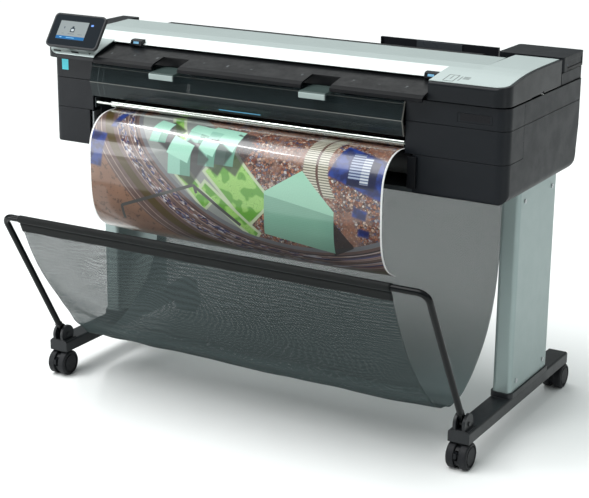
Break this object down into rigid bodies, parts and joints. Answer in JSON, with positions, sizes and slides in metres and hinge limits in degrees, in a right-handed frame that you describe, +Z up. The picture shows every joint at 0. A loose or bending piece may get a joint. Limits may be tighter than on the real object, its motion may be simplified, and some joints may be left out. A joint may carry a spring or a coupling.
{
  "type": "large format plotter",
  "caption": "Large format roll plotter with a scanner on top, on a two-legged stand with casters and a hanging mesh basket under an open front bail.",
  "frame": {"origin": "middle of the footprint, on the floor", "axes": "+X to the viewer's right along the body's length, +Y to the rear, +Z up"},
  "size_m": [1.403, 0.9461, 1.0559],
  "materials": {
    "leg_paint": "satin silver-grey powder coat",
    "foot_paint": "satin black powder coat",
    "screw_steel": "plain",
    "caster_plastic": "moulded black",
    "wheel_rubber": "satin",
    "bail_paint": "gloss black",
    "sling_mesh": "open mesh",
    "chassis_steel": "zinc plated",
    "cover_slate": "fine texture",
    "inner_black": "fine texture",
    "cap_black": "satin",
    "holder_silver": "satin",
    "rod_chrome": "polished",
    "roller_rubber": "ground",
    "roll_paper": "paper",
    "print_gloss": "glossy printed paper",
    "cartridge_black": "moulded black",
    "deck_silver": "satin silver paint",
    "lid_silver": "satin silver paint",
    "tray_black": "ribbed, semi-gloss",
    "window_smoke": "smoked, clear",
    "screen_glass": "glossy"
  },
  "bodies": {
    "body_on_stand": {"leg_left": "leg_paint", "leg_right": "leg_paint", "foot_left": "foot_paint", "foot_right": "foot_paint", "cross_brace": "leg_paint", "stand_screws": "screw_steel", "bail_bracket_left": "foot_paint", "bail_bracket_right": "foot_paint", "sling_cloth": "sling_mesh", "sling_rod": "bail_paint", "chassis": "chassis_steel", "back_cover": "cover_slate", "left_lower_cover": "cover_slate", "left_middle_cover": "cover_slate", "left_upper_cover": "cover_slate", "right_lower_cover": "cover_slate", "right_middle_cover": "cover_slate", "right_upper_cover": "cover_slate", "right_side_strip": "cover_slate", "platen": "inner_black", "output_rod": "rod_chrome", "carriage_rail": "chassis_steel", "service_station": "inner_black", "roll_holder_left": "holder_silver", "roll_holder_right": "cap_black", "print_sheet": "print_gloss", "rear_deck": "inner_black", "ink_bay": "inner_black", "ink_cartridges": "cartridge_black"},
    "bail": {"bail": "bail_paint"},
    "roll": {"spindle": "cap_black", "paper_roll": "roll_paper"},
    "feed_roller": {"feed_roller": "roller_rubber"},
    "carriage": {"carriage": "inner_black"},
    "scanner_unit": {"scanner_frame": "inner_black", "cap_left": "cap_black", "cap_right": "cap_black", "deck_left": "deck_silver", "deck_right": "deck_silver", "input_tray": "tray_black", "window": "window_smoke"},
    "lid": {"scanner_lid": "lid_silver"},
    "latch_left": {"latch_left": "cap_black"},
    "latch_right": {"latch_right": "cap_black"},
    "panel": {"touch_panel": "cap_black", "touch_screen": "screen_glass"},
    "ink_door": {"ink_cover": "cover_slate"},
    "guide_left": {"guide_left": "cap_black"},
    "guide_right": {"guide_right": "cap_black"},
    "switch": {"power_switch": "inner_black"},
    "caster_fl": {"fork_fl": "caster_plastic"},
    "wheel_fl": {"wheels_fl": "wheel_rubber"},
    "caster_fr": {"fork_fr": "caster_plastic"},
    "wheel_fr": {"wheels_fr": "wheel_rubber"},
    "caster_rl": {"fork_rl": "caster_plastic"},
    "wheel_rl": {"wheels_rl": "wheel_rubber"},
    "caster_rr": {"fork_rr": "caster_plastic"},
    "wheel_rr": {"wheels_rr": "wheel_rubber"},
    "brake_left": {"brake_left": "caster_plastic"},
    "brake_right": {"brake_right": "caster_plastic"}
  },
  "joints": [
    {"name": "swivel_fl", "type": "hinge", "parent": "body_on_stand", "child": "caster_fl", "pos_m": [-0.644, -0.205, 0.08], "axis": [0, 0, 1], "continuous": true},
    {"name": "roll_fl", "type": "hinge", "parent": "caster_fl", "child": "wheel_fl", "pos_m": [-0.644, -0.227, 0.037], "axis": [1, 0, 0], "continuous": true},
    {"name": "swivel_fr", "type": "hinge", "parent": "body_on_stand", "child": "caster_fr", "pos_m": [0.644, -0.205, 0.08], "axis": [0, 0, 1], "continuous": true},
    {"name": "roll_fr", "type": "hinge", "parent": "caster_fr", "child": "wheel_fr", "pos_m": [0.644, -0.227, 0.037], "axis": [1, 0, 0], "continuous": true},
    {"name": "swivel_rl", "type": "hinge", "parent": "body_on_stand", "child": "caster_rl", "pos_m": [-0.644, 0.414, 0.08], "axis": [0, 0, 1], "continuous": true},
    {"name": "roll_rl", "type": "hinge", "parent": "caster_rl", "child": "wheel_rl", "pos_m": [-0.644, 0.436, 0.037], "axis": [1, 0, 0], "continuous": true},
    {"name": "swivel_rr", "type": "hinge", "parent": "body_on_stand", "child": "caster_rr", "pos_m": [0.644, 0.414, 0.08], "axis": [0, 0, 1], "continuous": true},
    {"name": "roll_rr", "type": "hinge", "parent": "caster_rr", "child": "wheel_rr", "pos_m": [0.644, 0.436, 0.037], "axis": [1, 0, 0], "continuous": true},
    {"name": "brake_left_press", "type": "hinge", "parent": "caster_fl", "child": "brake_left", "pos_m": [-0.644, -0.253, 0.049], "axis": [1, 0, 0], "range_deg": [0, 14]},
    {"name": "brake_right_press", "type": "hinge", "parent": "caster_fr", "child": "brake_right", "pos_m": [0.644, -0.253, 0.049], "axis": [1, 0, 0], "range_deg": [0, 14]},
    {"name": "bail_fold", "type": "hinge", "parent": "body_on_stand", "child": "bail", "pos_m": [0, -0.222, 0.124], "axis": [-1, 0, 0], "range_deg": [0, 55], "deforming": ["sling_cloth", "print_sheet"]},
    {"name": "roll_spin", "type": "hinge", "parent": "body_on_stand", "child": "roll", "pos_m": [-0.036, -0.081, 0.748], "axis": [1, 0, 0], "continuous": true},
    {"name": "feed_spin", "type": "hinge", "parent": "body_on_stand", "child": "feed_roller", "pos_m": [-0.066, 0.075, 0.8], "axis": [1, 0, 0], "continuous": true},
    {"name": "carriage_slide", "type": "slide", "parent": "body_on_stand", "child": "carriage", "axis": [1, 0, 0], "range_m": [-1.03, 0]},
    {"name": "unit_lift", "type": "hinge", "parent": "body_on_stand", "child": "scanner_unit", "pos_m": [0, 0.197, 0.994], "axis": [-1, 0, 0], "range_deg": [0, 40]},
    {"name": "lid_open", "type": "hinge", "parent": "scanner_unit", "child": "lid", "pos_m": [0, 0.148, 0.99], "axis": [-1, 0, 0], "range_deg": [0, 60]},
    {"name": "latch_left_press", "type": "slide", "parent": "lid", "child": "latch_left", "axis": [0, 1, 0], "range_m": [0, 0.003], "stiffness_N_per_m": 600, "springref_m": -0.002},
    {"name": "latch_right_press", "type": "slide", "parent": "lid", "child": "latch_right", "axis": [0, 1, 0], "range_m": [0, 0.003], "stiffness_N_per_m": 600, "springref_m": -0.002},
    {"name": "panel_tilt", "type": "hinge", "parent": "scanner_unit", "child": "panel", "pos_m": [-0.6035, -0.15597, 0.99585], "axis": [-1, 0, 0], "range_deg": [-3, 25]},
    {"name": "ink_cover_open", "type": "hinge", "parent": "body_on_stand", "child": "ink_door", "pos_m": [0.517, 0.278, 0.965], "axis": [0, -1, 0], "range_deg": [0, 55]},
    {"name": "guide_left_fold", "type": "hinge", "parent": "body_on_stand", "child": "guide_left", "pos_m": [-0.378, 0.3375, 0.965], "axis": [1, 0, 0], "range_deg": [-85, 0]},
    {"name": "guide_right_fold", "type": "hinge", "parent": "body_on_stand", "child": "guide_right", "pos_m": [0.282, 0.3375, 0.965], "axis": [1, 0, 0], "range_deg": [0, 85]},
    {"name": "power_rock", "type": "hinge", "parent": "body_on_stand", "child": "switch", "pos_m": [-0.404, 0.332, 0.776], "axis": [1, 0, 0], "range_deg": [-6, 6]}
  ]
}
